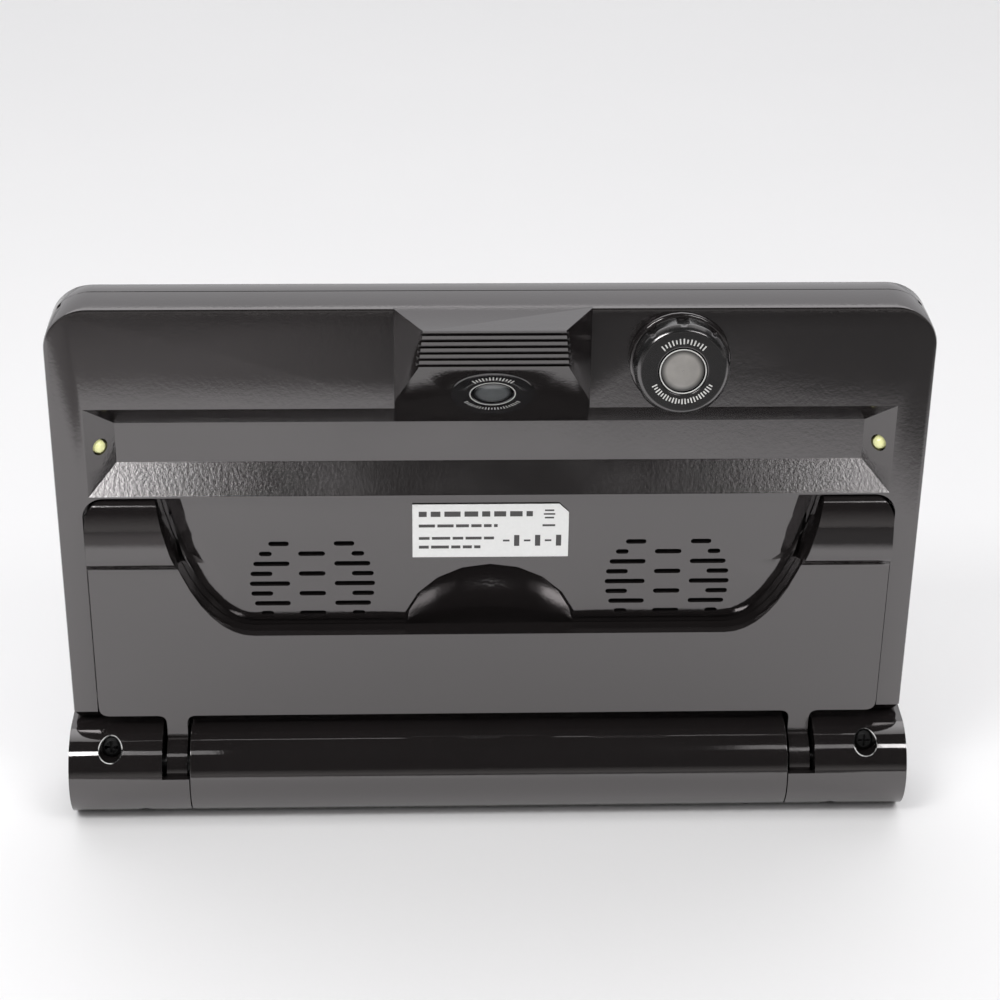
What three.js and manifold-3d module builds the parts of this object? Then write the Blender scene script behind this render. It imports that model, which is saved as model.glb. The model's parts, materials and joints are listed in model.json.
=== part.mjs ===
// A seven inch desktop video magnifier, built as it comes apart on a bench: a screen bezel, a moulded
// rear housing, a round battery barrel along the foot, and a folding stand hinged inside the barrel.
// Millimetres. x runs across the screen, -y is the rear (the lens side), z is up from the rest face.
import * as THREE from 'three';
import { ConvexGeometry } from 'three/addons/geometries/ConvexGeometry.js';
import { mergeVertices } from 'three/addons/utils/BufferGeometryUtils.js';
import Module from 'manifold-3d';

const wasm = await Module();
wasm.setup();

// ---------------------------------------------------------------- driving dimensions
const HALF_WIDTH = 98;             // of the rear housing
const HEIGHT = 129.2;
const CORNER_RADIUS = 10;
const BACK_Y = -4.3;               // the flat back plane
const SEAM_Y = 5.0;                // front edge of the rear housing
const FRONT_Y = 9.8;               // front face of the bezel
const GAP = 0.3;                   // left between neighbouring pieces
const OVER = 2;                    // how far a cutting tool runs past the face it opens
const FAR = 200;                   // beyond the whole object on every side

const HOUSING_FOOT_Z = 22.4;       // underside of the rear housing, just above the barrel
const MARGIN_FOOT_Z = 25.4;        // where the side margins stop above the barrel
const MARGIN_FOOT_DEPTH = 3.0;

const CHANNEL_RIM = { x: 90.5, low: 83.0, high: 105.0 };     // lighting channel, at the back plane
const CHANNEL_FLOOR = { x: 84.4, low: 89.1, high: 99.0 };
const CHANNEL_DEPTH = 5.4;

const BULGE_RISE = 11.7;           // near-lens bulge
const BULGE_FOOT_X = 21.65;
const BULGE_FACE_X = { top: 15.3, lip: 16.3 };   // half widths of its ribbed face
const BULGE_LIP_RISE = 8.5;        // where its ribbed face ends and the lens slope starts
const BULGE_LIP_Z = 118.9;
const LENS_SLOPE = (BULGE_LIP_RISE + CHANNEL_DEPTH) / (BULGE_LIP_Z - CHANNEL_FLOOR.high);

const RECESS_X = 92.3;             // recess that the folded stand lies in
const RECESS_TOP_Z = 82.6;
const RECESS_DEPTH = 3.1;
const PLATEAU_DEPTH = 2.1;         // raised middle that carries the grilles and the label
const POCKET_DEPTH = 6.5;          // deeper pockets under the stand's shoulders
const POCKET_LOW_Z = 64.5;

const GRILLE = { x: 41.0, z: 58.9, radius: 14.45, pitch: 2.64, slot: 1.2 };
const SCOOP = { halfWidth: 20.7, rise: 16.6, foot: 45.2, depth: 4.1 };

const BARREL_RADIUS = 11.05;
const AXIS_Y = -5.0;               // hinge axis, along x
const AXIS_Z = BARREL_RADIUS;
const BARREL_END_X = 98.7;
const BARREL_CENTRE_X = 70.4;
const BARREL_FACETS = 20;          // in its rear half round
const NOTCH_OUTER_X = 76.9;
const NOTCH_SILL_DEG = 14;         // lower edge of the notch, above the horizontal

const STAND_X = 91.7;
const STAND_RISE = 2.1;
const STAND_THICKNESS = 4.9;
const STAND_INNER_Z = 47.4;
const KNUCKLE_RADIUS = 8.5;
const TAB = { inner: 71.2, outer: 76.0 };
const SHOULDER = {
  footZ: 64.3, crestZ: 68.6, crestRise: 3.8,   // a short steep step up from the plate
  backRadius: 28.8, backDegrees: 24,           // then a long roll back towards the case
  noseRadius: 2.8, topZ: 82.2, cornerRadius: 5,
};

const SCREEN_Z = 76;               // centre of the display
const LCD = { x: 82, z: 48.5, rear: 5.1, front: 7.2 };

const FAR_LENS = { x: 41, z: 117.1, tilt: 6 };
const NEAR_LENS_Z = 109.6;

// ---------------------------------------------------------------- finishes
function finish(color, roughness, metalness = 0) {
  return new THREE.MeshStandardMaterial({ color, roughness, metalness });
}
const GLOSS_BLACK = finish(0x1c1b1c, 0.16);
const SATIN_BLACK = finish(0x202022, 0.45);
const STEEL = finish(0xa9abae, 0.3, 1);
const DARK_STEEL = finish(0x3a3a3c, 0.35, 1);
const CLEAR_GLASS = finish(0x55585a, 0.05);
const SCREEN_GREY = finish(0x101214, 0.1);
const PAPER_WHITE = finish(0xe8e8e6, 0.6);
const BOARD_GREEN = finish(0x1f5a34, 0.5);
const CELL_BLUE = finish(0x2f6f9a, 0.4);
const CONE_GREY = finish(0x4a4a4c, 0.6);
const LED_YELLOW = finish(0xf2ee9a, 0.2);
const KEY_YELLOW = finish(0xf0c400, 0.35);
const KEY_BLUE = finish(0x2a62b8, 0.35);
const KEY_WHITE = finish(0xdededa, 0.35);

// ---------------------------------------------------------------- solids from geometries
function solid(geometry) {
  const bare = geometry.clone();
  bare.deleteAttribute('normal');
  bare.deleteAttribute('uv');
  const merged = mergeVertices(bare, 1e-4);
  const corners = [];
  const index = merged.index.array;
  for (let i = 0; i < index.length; i += 3) {
    const [a, b, c] = [index[i], index[i + 1], index[i + 2]];
    if (a !== b && b !== c && c !== a) corners.push(a, b, c);
  }
  return new wasm.Manifold(new wasm.Mesh({
    numProp: 3,
    vertProperties: Float32Array.from(merged.attributes.position.array),
    triVerts: Uint32Array.from(corners),
  }));
}

function geometryOf(body) {
  const mesh = body.getMesh();
  const geometry = new THREE.BufferGeometry();
  geometry.setAttribute('position', new THREE.BufferAttribute(Float32Array.from(mesh.vertProperties), 3));
  geometry.setIndex(new THREE.BufferAttribute(Uint32Array.from(mesh.triVerts), 1));
  geometry.computeVertexNormals();
  return geometry;
}

function joined(...bodies) {
  return bodies.reduce((whole, body) => whole.add(body));
}

function cut(body, ...tools) {
  return tools.reduce((rest, tool) => rest.subtract(tool), body);
}

function behind(rise) {
  return BACK_Y - rise;
}

// A span of x on the left (side -1) or the right (side 1), given from the middle outwards.
function outward(side, inner, outer) {
  return side < 0 ? [-outer, -inner] : [inner, outer];
}

function block(x0, x1, y0, y1, z0, z1) {
  const geometry = new THREE.BoxGeometry(x1 - x0, y1 - y0, z1 - z0);
  return solid(geometry.translate((x0 + x1) / 2, (y0 + y1) / 2, (z0 + z1) / 2));
}

// An outline drawn in x and z, standing between a rear and a front y.
function upright(shape, rearY, frontY, curveSegments = 8) {
  const geometry = new THREE.ExtrudeGeometry(shape, {
    depth: frontY - rearY, bevelEnabled: false, curveSegments,
  });
  return solid(geometry.rotateX(Math.PI / 2).translate(0, frontY, 0));
}

// The same with one face rounded over at its edge: the rear face, or the front face. The extrusion is
// rounded at both ends, so it is made too long and its other end is cut off square.
function roundedUpright(shape, rearY, frontY, edge, options = {}) {
  const { steps = 2, curveSegments = 8, roundFront = false } = options;
  const geometry = new THREE.ExtrudeGeometry(shape, {
    depth: frontY - rearY, curveSegments,
    bevelThickness: edge, bevelSize: edge, bevelOffset: -edge, bevelSegments: steps,
  });
  const shift = roundFront ? frontY - edge : frontY + edge;
  const [wasteFrom, wasteTo] = roundFront ? [rearY - 3 * edge, rearY] : [frontY, frontY + 3 * edge];
  const long = solid(geometry.rotateX(Math.PI / 2).translate(0, shift, 0));
  return cut(long, block(-FAR, FAR, wasteFrom, wasteTo, -FAR, FAR));
}

// A section drawn in y and z, run along x.
const Y_Z_X = new THREE.Matrix4().makeBasis(
  new THREE.Vector3(0, 1, 0), new THREE.Vector3(0, 0, 1), new THREE.Vector3(1, 0, 0));
function alongX(shape, fromX, toX, curveSegments = 12) {
  const depth = toX - fromX;
  const geometry = new THREE.ExtrudeGeometry(shape, { depth, bevelEnabled: false, curveSegments });
  return solid(geometry.applyMatrix4(Y_Z_X).translate(fromX, 0, 0));
}

// A block whose rear and front faces are two different rectangles, so its four sides slope.
function taperedBlock(rear, front) {
  const geometry = new THREE.BoxGeometry(2, 2, 2);
  const position = geometry.attributes.position;
  for (let i = 0; i < position.count; i += 1) {
    const face = position.getY(i) < 0 ? rear : front;
    const z = position.getZ(i) < 0 ? face.low : face.high;
    position.setXYZ(i, position.getX(i) * face.x, face.y, z);
  }
  return solid(geometry);
}

function polygon(points) {
  return new THREE.Shape(points.map(([a, b]) => new THREE.Vector2(a, b)));
}

function roundedRectangle(left, bottom, right, top, lowRadius, highRadius = lowRadius) {
  const shape = new THREE.Shape();
  shape.moveTo(left + lowRadius, bottom);
  shape.lineTo(right - lowRadius, bottom);
  shape.absarc(right - lowRadius, bottom + lowRadius, lowRadius, -Math.PI / 2, 0);
  shape.absarc(right - highRadius, top - highRadius, highRadius, 0, Math.PI / 2);
  shape.absarc(left + highRadius, top - highRadius, highRadius, Math.PI / 2, Math.PI);
  shape.absarc(left + lowRadius, bottom + lowRadius, lowRadius, Math.PI, Math.PI * 1.5);
  return shape;
}

function circle(y, z, radius) {
  return new THREE.Shape().absarc(y, z, radius, 0, Math.PI * 2);
}

function rod(y, z, radius, fromX, toX, facets = 16) {
  return alongX(circle(y, z, radius), fromX, toX, facets / 2);
}

// A turned piece: radii and heights of half a section, closed on the axis, axis along +z.
function turned(profile, facets = 32) {
  const points = profile.map(([r, z]) => new THREE.Vector2(r, z));
  return new THREE.LatheGeometry(points, facets).rotateX(Math.PI / 2);
}

// A turned piece stood on a point, its axis pointing along `direction`.
const Z_UP = new THREE.Vector3(0, 0, 1);
function aimed(geometry, point, direction) {
  const turn = new THREE.Quaternion().setFromUnitVectors(Z_UP, direction.clone().normalize());
  return geometry.applyQuaternion(turn).translate(point.x, point.y, point.z);
}

// ---------------------------------------------------------------- the assembly tree
const magnifier = new THREE.Group();

function place(name, geometry, material, parent = magnifier) {
  const mesh = new THREE.Mesh(geometry, material);
  mesh.name = name;
  parent.add(mesh);
  return mesh;
}

function placeSolid(name, body, material, parent = magnifier) {
  return place(name, geometryOf(body), material, parent);
}

// ---------------------------------------------------------------- rear housing: outer form
function channelTool() {
  const run = OVER / CHANNEL_DEPTH;
  const wider = (rim, floor) => rim + (rim - floor) * run;
  const rear = {
    y: behind(OVER),
    x: wider(CHANNEL_RIM.x, CHANNEL_FLOOR.x),
    low: wider(CHANNEL_RIM.low, CHANNEL_FLOOR.low),
    high: wider(CHANNEL_RIM.high, CHANNEL_FLOOR.high),
  };
  return taperedBlock(rear, { ...CHANNEL_FLOOR, y: behind(-CHANNEL_DEPTH) });
}

function slopeRise(z) {
  return (z - CHANNEL_FLOOR.high) * LENS_SLOPE - CHANNEL_DEPTH;
}

function slopeZ(rise) {
  return CHANNEL_FLOOR.high + (rise + CHANNEL_DEPTH) / LENS_SLOPE;
}

function bulgeSection(inset) {
  const root = inset ? 2.5 : 3;
  return polygon([
    [behind(-root), HEIGHT - inset],
    [behind(BULGE_RISE - inset), HEIGHT - inset],
    [behind(BULGE_LIP_RISE - inset), BULGE_LIP_Z + inset / 2],
    [behind(-root), slopeZ(-root) + inset * 1.5],
  ]);
}

// The bulge's corners on one side: along the back plane, out to the ribbed face, and down the lens slope.
function bulge() {
  const root = -3;
  const corners = [
    [BULGE_FOOT_X, root, HEIGHT],
    [BULGE_FOOT_X, 0, HEIGHT],
    [BULGE_FACE_X.top, BULGE_RISE, HEIGHT],
    [BULGE_FACE_X.lip, BULGE_LIP_RISE, BULGE_LIP_Z],
    [BULGE_FOOT_X, 0, slopeZ(0)],
    [BULGE_FOOT_X, root, slopeZ(root)],
  ];
  const bothSides = corners.flatMap(([x, rise, z]) => [[-x, rise, z], [x, rise, z]]);
  const points = bothSides.map(([x, rise, z]) => new THREE.Vector3(x, behind(rise), z));
  return cut(solid(new ConvexGeometry(points)), ...ribGrooves());
}

function ribGrooves() {
  const count = 6;
  const pitch = (HEIGHT - BULGE_LIP_Z) / count;
  const grooves = [];
  for (let i = 0; i < count; i += 1) {
    const z = HEIGHT - pitch * (i + 0.55);
    const rise = BULGE_RISE - (HEIGHT - z) * (BULGE_RISE - BULGE_LIP_RISE) / (HEIGHT - BULGE_LIP_Z);
    grooves.push(block(-20, 20, behind(rise + OVER), behind(rise - 0.7), z - 0.42, z + 0.42));
  }
  return grooves;
}

// The lens slope runs a little deeper than the channel's own upper bevel.
function slopeTool() {
  const section = polygon([
    [behind(-CHANNEL_DEPTH), CHANNEL_FLOOR.high],
    [behind(OVER), CHANNEL_FLOOR.high],
    [behind(OVER), slopeZ(OVER)],
  ]);
  const wedge = alongX(section, -BULGE_FOOT_X, BULGE_FOOT_X);
  return cut(wedge, block(-FAR, FAR, -FAR, BACK_Y, slopeZ(0), FAR));
}

// The region inside the stand's U, drawn `inset` clear of its inner edge and open past the recess's top.
const U_EDGE = { footX: 54.7, bend1: [62.5, 0], bend2: [71.2, 57], topX: 76.1, topZ: 83.5, openZ: 90 };
function insideOfStand(inset) {
  const foot = STAND_INNER_Z + inset;
  const shape = new THREE.Shape();
  shape.moveTo(-U_EDGE.footX, foot);
  shape.lineTo(U_EDGE.footX, foot);
  shape.bezierCurveTo(
    U_EDGE.bend1[0] - inset, foot, U_EDGE.bend2[0] - inset, U_EDGE.bend2[1] + inset,
    U_EDGE.topX - inset, U_EDGE.topZ);
  shape.lineTo(U_EDGE.topX - inset, U_EDGE.openZ);
  shape.lineTo(-U_EDGE.topX + inset, U_EDGE.openZ);
  shape.lineTo(-U_EDGE.topX + inset, U_EDGE.topZ);
  shape.bezierCurveTo(
    -U_EDGE.bend2[0] + inset, U_EDGE.bend2[1] + inset, -U_EDGE.bend1[0] + inset, foot,
    -U_EDGE.footX, foot);
  return shape;
}

function plateau() {
  const rise = RECESS_DEPTH - PLATEAU_DEPTH;
  const slope = 3.0;
  const geometry = new THREE.ExtrudeGeometry(insideOfStand(1.2), {
    depth: 2, curveSegments: 10,
    bevelThickness: rise, bevelSize: slope, bevelOffset: -slope, bevelSegments: 3,
  });
  geometry.rotateX(Math.PI / 2).translate(0, behind(-PLATEAU_DEPTH) + 2 + rise, 0);
  const aboveRecess = block(-FAR, FAR, -FAR, FAR, RECESS_TOP_Z, FAR);
  return cut(solid(geometry), aboveRecess, block(-FAR, FAR, 0, FAR, 0, FAR));
}

function recessTool() {
  const shape = roundedRectangle(-RECESS_X, 10, RECESS_X, RECESS_TOP_Z, 0.5, 5);
  return upright(shape, behind(OVER), behind(-RECESS_DEPTH));
}

// Pockets for the stand's shoulders. Inside the U each pocket goes on as a sloping wall up to the raised
// middle, and that wall's foot runs out in a ramp.
const POCKET_RAMP_Z = 73;
function shoulderPocketTool() {
  const clear = 0.9;
  const slope = POCKET_DEPTH - PLATEAU_DEPTH;
  const [outside, bottom] = [behind(0), behind(-POCKET_DEPTH)];
  const outline = roundedRectangle(-RECESS_X, POCKET_LOW_Z, RECESS_X, RECESS_TOP_Z, 1, 5);
  const inside = upright(insideOfStand(clear), -10, 10, 10);
  const underShoulders = cut(upright(outline, outside, bottom, 5), inside);
  const ramp = alongX(polygon([
    [outside, POCKET_LOW_Z], [behind(-PLATEAU_DEPTH), POCKET_LOW_Z], [bottom, POCKET_RAMP_Z],
    [bottom, RECESS_TOP_Z], [outside, RECESS_TOP_Z],
  ]), -U_EDGE.topX, U_EDGE.topX);
  const wall = new THREE.ExtrudeGeometry(insideOfStand(clear), {
    depth: OVER, curveSegments: 8,
    bevelThickness: slope, bevelSize: slope, bevelOffset: -slope, bevelSegments: 2,
  });
  wall.rotateX(Math.PI / 2).translate(0, bottom + OVER, 0);
  const middle = upright(insideOfStand(clear + slope), outside - OVER, bottom, 8);
  return joined(underShoulders, cut(ramp.intersect(inside), solid(wall), middle));
}

function scoopForm(growth) {
  const geometry = new THREE.SphereGeometry(1, 20, 10);
  geometry.scale(SCOOP.halfWidth + growth, SCOOP.depth + growth, SCOOP.rise + 2 + growth);
  geometry.translate(0, behind(-PLATEAU_DEPTH), SCOOP.foot);
  return cut(solid(geometry), block(-40, 40, -20, 20, 0, SCOOP.foot - growth));
}

// One slot of a grille row: a bar with round ends.
function slot(fromX, toX, z) {
  const radius = GRILLE.slot / 2;
  const shape = new THREE.Shape();
  shape.absarc(toX - radius, z, radius, -Math.PI / 2, Math.PI / 2);
  shape.absarc(fromX + radius, z, radius, Math.PI / 2, Math.PI * 1.5);
  return upright(shape, behind(0), behind(-PLATEAU_DEPTH) + 3, 2);
}

// Rows of slots that fill a circle: odd rows are split in the middle, even rows have a short middle slot.
function grilleSlots(centreX) {
  const slots = [];
  const rows = 8;
  for (let row = 1; row <= rows; row += 1) {
    const offset = (5 - row) * GRILLE.pitch;
    const z = GRILLE.z + offset;
    const edge = Math.sqrt(GRILLE.radius ** 2 - offset ** 2);
    const start = row % 2 === 1 ? 5.1 : 9.1;
    if (row % 2 === 0) slots.push(slot(centreX - 3.1, centreX + 3.1, z));
    if (edge - start > 2 * GRILLE.slot) {
      slots.push(slot(centreX - edge, centreX - start, z), slot(centreX + start, centreX + edge, z));
    }
  }
  return slots;
}

// ---------------------------------------------------------------- rear housing: inside
const WALL = 1.6;
const ROOM = {
  screenX: 95.4, screenRear: 3.0, screenLow: 24.6, top: HEIGHT - 2.4,   // the wide room behind the display
  front: 4.0,                                                           // where the deeper rooms meet it
  upperX: 92, lowerX: 90.4, lowerLow: 27, lowerTop: 62.5, middleX: 60, middleLow: 60, middleTop: 80.5,
};
const SPEAKER = { radius: 15, rear: -0.4, thick: 3.0, rim: 1.2, coneRadius: 12.5 };
function housingCavity() {
  const recessWall = behind(-RECESS_DEPTH) + WALL;
  const screenRoom = block(
    -ROOM.screenX, ROOM.screenX, ROOM.screenRear, SEAM_Y + OVER, ROOM.screenLow, ROOM.top);
  const upperRoom = block(-ROOM.upperX, ROOM.upperX, BACK_Y + WALL, ROOM.front, slopeZ(0) + WALL, ROOM.top);
  const lowerRoom = block(-ROOM.lowerX, ROOM.lowerX, recessWall, ROOM.front, ROOM.lowerLow, ROOM.lowerTop);
  const middleRoom = block(
    -ROOM.middleX, ROOM.middleX, recessWall, ROOM.front, ROOM.middleLow, ROOM.middleTop);
  const lensRoom = alongX(bulgeSection(WALL), -BULGE_FACE_X.top + 0.8, BULGE_FACE_X.top - 0.8);
  const speakerRooms = [-1, 1].map((side) => {
    const [rear, front] = [SPEAKER.rear - GAP, ROOM.front + 0.2];
    const radius = SPEAKER.radius + 2 * GAP;
    const round = new THREE.CylinderGeometry(radius, radius, front - rear, 20);
    return solid(round.translate(side * GRILLE.x, (rear + front) / 2, GRILLE.z));
  });
  return cut(joined(screenRoom, upperRoom, lowerRoom, middleRoom, lensRoom, ...speakerRooms), scoopForm(1.2));
}

// Ears reach down into the end barrels, and the rear screws bite into them.
const EAR = { inner: 78.3, outer: 96.7, rear: 2.3, low: 3.3, high: 26 };
const SCREW_BORE = 1.3;
function housingEar(side) {
  const [from, to] = outward(side, EAR.inner, EAR.outer);
  return cut(block(from, to, EAR.rear, SEAM_Y, EAR.low, EAR.high), onRearScrew(side, SCREW_BORE, -12, 4));
}

function housingFootStep() {
  return block(-FAR, FAR, behind(OVER), behind(-MARGIN_FOOT_DEPTH), 0, MARGIN_FOOT_Z);
}

const LED_DIRECTION = new THREE.Vector3(-0.663, -0.749, 0);
const LED = { x: 87.5, z: 94.4, radius: 1.5, hole: 2.0 };
function ledPose(geometry, side, lift) {
  const direction = LED_DIRECTION.clone();
  direction.x *= side;
  const point = new THREE.Vector3(side * LED.x, behind(-CHANNEL_DEPTH / 2), LED.z);
  point.addScaledVector(direction, lift);
  return aimed(geometry, point, direction);
}

function rodGeometry(radius, length, facets = 16) {
  return new THREE.CylinderGeometry(radius, radius, length, facets).rotateX(Math.PI / 2);
}

// Sockets sit in both side walls, seen end-on: centre height, half sizes of the opening.
const SOCKETS = [
  { name: 'charging_socket', side: 1, z: 40, halfY: 2.05, halfZ: 3.4, round: true },
  { name: 'headphone_socket', side: 1, z: 54, halfY: 2.05, halfZ: 3.0, round: true },
  { name: 'hdmi_socket', side: -1, z: 42, halfY: 1.5, halfZ: 5.6, round: false },
];
const SOCKET_Y = 1.55;
const SOCKET_X = { inner: 85, mouth: 90, outer: HALF_WIDTH - 0.2 };
function socketTool(socket) {
  const [from, to] = outward(socket.side, SOCKET_X.inner - 2.8 * GAP, HALF_WIDTH + OVER);
  return block(from, to, SOCKET_Y - socket.halfY - GAP, SOCKET_Y + socket.halfY + GAP,
    socket.z - socket.halfZ - GAP, socket.z + socket.halfZ + GAP);
}

function rearHousing() {
  const outline = roundedRectangle(-HALF_WIDTH, HOUSING_FOOT_Z, HALF_WIDTH, HEIGHT, 1.5, CORNER_RADIUS);
  const slab = roundedUpright(outline, BACK_Y, SEAM_Y, 0.8);
  const dished = cut(slab, channelTool(), recessTool(), slopeTool(), housingFootStep());
  const form = cut(joined(dished, bulge(), plateau()), shoulderPocketTool(), scoopForm(0));
  const hollow = cut(form, housingCavity(), ...grilleSlots(-GRILLE.x), ...grilleSlots(GRILLE.x));
  const lensHoles = [farLensPose(rodGeometry(7.2, 12), 0), nearLensPose(rodGeometry(5.0, 9), 0),
    nearLensPose(rodGeometry(9.55, 2.6), 0)];
  const ledHoles = [-1, 1].map((side) => ledPose(rodGeometry(LED.hole, 13), side, 0));
  const holes = [...lensHoles, ...ledHoles].map(solid);
  const bored = cut(hollow, ...holes, ...SOCKETS.map(socketTool));
  return joined(bored, housingEar(-1), housingEar(1));
}

// ---------------------------------------------------------------- barrel along the foot
const END_BLOCK_Y = SEAM_Y;
function barrelSection() {
  const shape = new THREE.Shape();
  shape.moveTo(AXIS_Y, 2 * BARREL_RADIUS);
  shape.absarc(AXIS_Y, AXIS_Z, BARREL_RADIUS, Math.PI / 2, Math.PI * 1.5);
  shape.lineTo(END_BLOCK_Y - 0.6, 0);
  shape.lineTo(END_BLOCK_Y, 0.6);
  shape.lineTo(END_BLOCK_Y, 2 * BARREL_RADIUS);
  return shape;
}

const CELL = { radius: 9.1, length: 65.0, y: -5.25 };
function barrelCentre() {
  const body = alongX(barrelSection(), -BARREL_CENTRE_X, BARREL_CENTRE_X, BARREL_FACETS);
  return cut(body, rod(CELL.y, AXIS_Z, CELL.radius + 0.35, -BARREL_END_X, BARREL_END_X, 32));
}

// End plugs close the cell tube and carry the inner ends of the hinge pins.
function barrelPlug(side) {
  const [from, to] = outward(side, BARREL_CENTRE_X - 3, BARREL_CENTRE_X);
  const disc = rod(CELL.y, AXIS_Z, CELL.radius + 0.05, from, to, 32);
  return cut(disc, rod(AXIS_Y, AXIS_Z, PIN.radius + GAP, -FAR, FAR));
}

const PIN = { radius: 2.4, inner: 67.8, outer: 88.0 };
const REAR_SCREW = { x: 89, elevation: 15, offset: 6.4, well: 2.75, head: 2.3 };
const FOOT_SCREW = { x: 81.5, y: -11.4, well: 2.25, head: 1.95 };

function rearScrewLine(side) {
  const angle = THREE.MathUtils.degToRad(REAR_SCREW.elevation);
  const direction = new THREE.Vector3(0, -Math.cos(angle), Math.sin(angle));
  const above = new THREE.Vector3(0, Math.sin(angle), Math.cos(angle));
  const point = new THREE.Vector3(side * REAR_SCREW.x, AXIS_Y, AXIS_Z);
  point.addScaledVector(above, REAR_SCREW.offset);
  return { direction, point };
}

// A cylinder on the rear screw's line, from `from` to `to` measured outwards from the axis plane.
function onRearScrew(side, radius, from, to) {
  const { direction, point } = rearScrewLine(side);
  const centre = point.clone().addScaledVector(direction, (from + to) / 2);
  return solid(aimed(rodGeometry(radius, to - from), centre, direction));
}

function onFootScrew(side, radius, low, high) {
  const geometry = rodGeometry(radius, high - low);
  return solid(geometry.translate(side * FOOT_SCREW.x, FOOT_SCREW.y, (low + high) / 2));
}

// The sector swept free for the stand's tab, from the sill up over the top of the barrel.
function notchTool(from, to) {
  const reach = 20;
  const sill = THREE.MathUtils.degToRad(NOTCH_SILL_DEG);
  const sector = polygon([
    [AXIS_Y, AXIS_Z],
    [behind(STAND_RISE - STAND_THICKNESS - GAP - 0.2), AXIS_Z],
    [behind(STAND_RISE - STAND_THICKNESS - GAP - 0.2), AXIS_Z + reach],
    [AXIS_Y - reach, AXIS_Z + reach],
    [AXIS_Y - reach * Math.cos(sill), AXIS_Z + reach * Math.sin(sill)],
  ]);
  return joined(alongX(sector, from, to), rod(AXIS_Y, AXIS_Z, KNUCKLE_RADIUS + GAP + 0.1, from, to, 24));
}

const BRACKET = { inner: 78, outer: 86.5, rear: -13.2, front: 0.5, low: 7.5, high: 14.6 };
function barrelEnd(side) {
  const [from, to] = outward(side, BARREL_CENTRE_X + 0.15, BARREL_END_X);
  const [notchFrom, notchTo] = outward(side, BARREL_CENTRE_X - 1, NOTCH_OUTER_X);
  const [rebateFrom, rebateTo] = outward(side, EAR.inner - GAP, EAR.outer + GAP);
  const [roomFrom, roomTo] = outward(side, BRACKET.inner - GAP, BRACKET.outer + GAP);
  const [boreFrom, boreTo] = outward(side, BARREL_CENTRE_X - 0.4, PIN.outer + GAP);
  return cut(
    alongX(barrelSection(), from, to, BARREL_FACETS),
    notchTool(notchFrom, notchTo),
    block(rebateFrom, rebateTo, EAR.rear - GAP, SEAM_Y + OVER, EAR.low - GAP, EAR.high),
    block(roomFrom, roomTo, BRACKET.rear - GAP, 3, BRACKET.low - GAP, BRACKET.high + GAP),
    rod(AXIS_Y, AXIS_Z, PIN.radius + GAP, boreFrom, boreTo),
    onRearScrew(side, REAR_SCREW.well, 5.0, 20),
    onRearScrew(side, SCREW_BORE, -12, 6),
    onFootScrew(side, FOOT_SCREW.well, -5, 5.0),
    onFootScrew(side, SCREW_BORE, 4, 8));
}

function hingeBracket(side) {
  const [from, to] = outward(side, BRACKET.inner, BRACKET.outer);
  return cut(
    block(from, to, BRACKET.rear, BRACKET.front, BRACKET.low, BRACKET.high),
    rod(AXIS_Y, AXIS_Z, PIN.radius + GAP, -FAR, FAR),
    onFootScrew(side, SCREW_BORE, 4, 20));
}

// A pan-head screw with a cross recess: head on a shank, head towards +z.
function screwGeometry(headRadius, shankRadius, length) {
  const head = 1.4;
  const body = solid(turned([
    [0, -length], [shankRadius, -length + 0.6], [shankRadius, 0],
    [headRadius, 0], [headRadius, head * 0.6], [headRadius * 0.75, head], [0, head],
  ], 12));
  const arm = headRadius * 0.62;
  const [half, floor] = [0.25, head - 0.7];
  const across = block(-arm, arm, -half, half, floor, head + 1);
  const upward = block(-half, half, -arm, arm, floor, head + 1);
  return geometryOf(cut(body, across, upward));
}

// ---------------------------------------------------------------- folding stand
// Front view of the stand without its opening: a plate with two tabs that reach down to the hinge axis.
function standOutline() {
  const fillet = 2.2;
  const edgeRadius = 2.5;
  const foot = MARGIN_FOOT_Z;
  const tabFoot = AXIS_Z + 4;
  const { topZ, cornerRadius } = SHOULDER;
  const shape = new THREE.Shape();
  shape.moveTo(-TAB.inner + fillet, foot);
  shape.lineTo(TAB.inner - fillet, foot);
  shape.quadraticCurveTo(TAB.inner, foot, TAB.inner, foot - fillet);
  shape.lineTo(TAB.inner, tabFoot);
  shape.lineTo(TAB.outer, tabFoot);
  shape.lineTo(TAB.outer, foot - fillet);
  shape.quadraticCurveTo(TAB.outer, foot, TAB.outer + fillet, foot);
  shape.lineTo(STAND_X - edgeRadius, foot);
  shape.quadraticCurveTo(STAND_X, foot, STAND_X, foot + edgeRadius);
  shape.absarc(STAND_X - cornerRadius, topZ - cornerRadius, cornerRadius, 0, Math.PI / 2);
  shape.absarc(-STAND_X + cornerRadius, topZ - cornerRadius, cornerRadius, Math.PI / 2, Math.PI);
  shape.lineTo(-STAND_X, foot + edgeRadius);
  shape.quadraticCurveTo(-STAND_X, foot, -STAND_X + edgeRadius, foot);
  shape.lineTo(-TAB.outer - fillet, foot);
  shape.quadraticCurveTo(-TAB.outer, foot, -TAB.outer, foot - fillet);
  shape.lineTo(-TAB.outer, tabFoot);
  shape.lineTo(-TAB.inner, tabFoot);
  shape.lineTo(-TAB.inner, foot - fillet);
  shape.quadraticCurveTo(-TAB.inner, foot, -TAB.inner + fillet, foot);
  return shape;
}

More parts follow.
